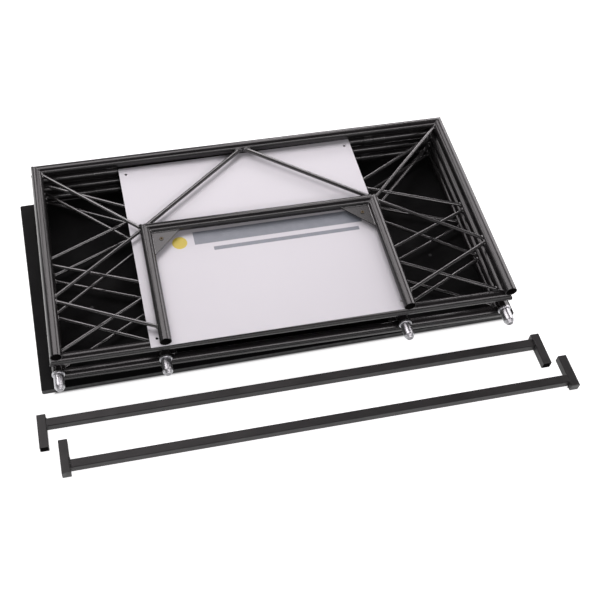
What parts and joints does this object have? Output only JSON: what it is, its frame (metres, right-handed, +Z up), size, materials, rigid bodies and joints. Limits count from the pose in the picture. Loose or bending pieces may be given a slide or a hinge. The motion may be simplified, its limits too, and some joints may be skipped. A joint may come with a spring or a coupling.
{
  "type": "folding truss event table",
  "caption": "Knocked-down truss-frame event table: folded welded tube frames with spigots and a sign panel, stacked on the tabletop board, with loose T-ended support bars.",
  "frame": {"origin": "on the floor under the middle of the stacked frames, on the tabletop board's underside", "axes": "+Z up, +X along the long side to the right, -Y towards the open leg ends and the loose bars"},
  "size_m": [1.1428, 0.7462, 0.1265],
  "materials": {
    "frame_black": "satin black powder coat on steel tube, rod and plate",
    "bar_black": "matte black powder coat on square steel tube",
    "spigot_aluminium": "turned and polished, fine tool rings",
    "panel_white": "semi-gloss white sheet",
    "board_black": "wood core under a fine-textured black laminate",
    "edge_black": "black edge banding",
    "cap_black": "moulded black plastic",
    "pad_rubber": "black rubber",
    "nut_brass": "plain brass, threaded inside",
    "screw_steel": "blackened steel screws"
  },
  "bodies": {
    "tabletop": {"tabletop_board": "board_black", "tabletop_edge_band": "edge_black", "tabletop_screws": "screw_steel"},
    "floor_frame": {"floor_frame_back_bar": "frame_black", "floor_frame_front_bar": "frame_black", "floor_frame_hinge_collars": "frame_black", "floor_frame_left_lacing": "frame_black", "floor_frame_left_leg": "frame_black", "floor_frame_left_rail": "frame_black", "floor_frame_pads": "pad_rubber", "floor_frame_right_lacing": "frame_black", "floor_frame_right_leg": "frame_black", "floor_frame_right_rail": "frame_black"},
    "lower_front": {"lower_front_back_bar": "frame_black", "lower_front_centre_lacing": "frame_black", "lower_front_gussets": "frame_black", "lower_front_hinge_straps": "frame_black", "lower_front_left_lacing": "frame_black", "lower_front_left_leg": "frame_black", "lower_front_left_window_leg": "frame_black", "lower_front_right_lacing": "frame_black", "lower_front_right_leg": "frame_black", "lower_front_right_window_leg": "frame_black", "lower_front_rivet_nuts": "nut_brass", "lower_front_spigots": "spigot_aluminium", "lower_front_window_bar": "frame_black"},
    "top_frame": {"top_frame_back_bar": "frame_black", "top_frame_front_bar": "frame_black", "top_frame_hinge_collars": "frame_black", "top_frame_left_lacing": "frame_black", "top_frame_left_leg": "frame_black", "top_frame_left_rail": "frame_black", "top_frame_pads": "pad_rubber", "top_frame_right_lacing": "frame_black", "top_frame_right_leg": "frame_black", "top_frame_right_rail": "frame_black"},
    "upper_front": {"upper_front_back_bar": "frame_black", "upper_front_centre_lacing": "frame_black", "upper_front_gussets": "frame_black", "upper_front_hinge_straps": "frame_black", "upper_front_left_lacing": "frame_black", "upper_front_left_leg": "frame_black", "upper_front_left_window_leg": "frame_black", "upper_front_right_lacing": "frame_black", "upper_front_right_leg": "frame_black", "upper_front_right_window_leg": "frame_black", "upper_front_rivet_nuts": "nut_brass", "upper_front_window_bar": "frame_black"},
    "sign_panel": {"sign_panel": "panel_white"},
    "support_bar_1": {"support_bar_1_end_caps": "cap_black", "support_bar_1_end_pieces": "bar_black", "support_bar_1_tube": "bar_black"},
    "support_bar_2": {"support_bar_2_end_caps": "cap_black", "support_bar_2_end_pieces": "bar_black", "support_bar_2_tube": "bar_black"}
  },
  "joints": [
    {"name": "floor_frame_lift", "type": "slide", "parent": "tabletop", "child": "floor_frame", "axis": [0, 0, 1], "range_m": [0, 0.3]},
    {"name": "lower_front_fold", "type": "hinge", "parent": "floor_frame", "child": "lower_front", "pos_m": [0, 0.2508, 0.028], "axis": [-1, 0, 0], "range_deg": [0, 90]},
    {"name": "top_frame_lift", "type": "slide", "parent": "lower_front", "child": "top_frame", "axis": [0, 0, 1], "range_m": [0, 0.3]},
    {"name": "upper_front_fold", "type": "hinge", "parent": "top_frame", "child": "upper_front", "pos_m": [0, 0.2538, 0.0854], "axis": [-1, 0, 0], "range_deg": [0, 90]},
    {"name": "sign_panel_slide", "type": "slide", "parent": "top_frame", "child": "sign_panel", "axis": [0, -1, 0], "range_m": [0, 0.55]},
    {"name": "support_bar_1_lift", "type": "slide", "parent": "tabletop", "child": "support_bar_1", "axis": [0, 0, 1], "range_m": [0, 0.3]},
    {"name": "support_bar_2_lift", "type": "slide", "parent": "tabletop", "child": "support_bar_2", "axis": [0, 0, 1], "range_m": [0, 0.3]}
  ]
}
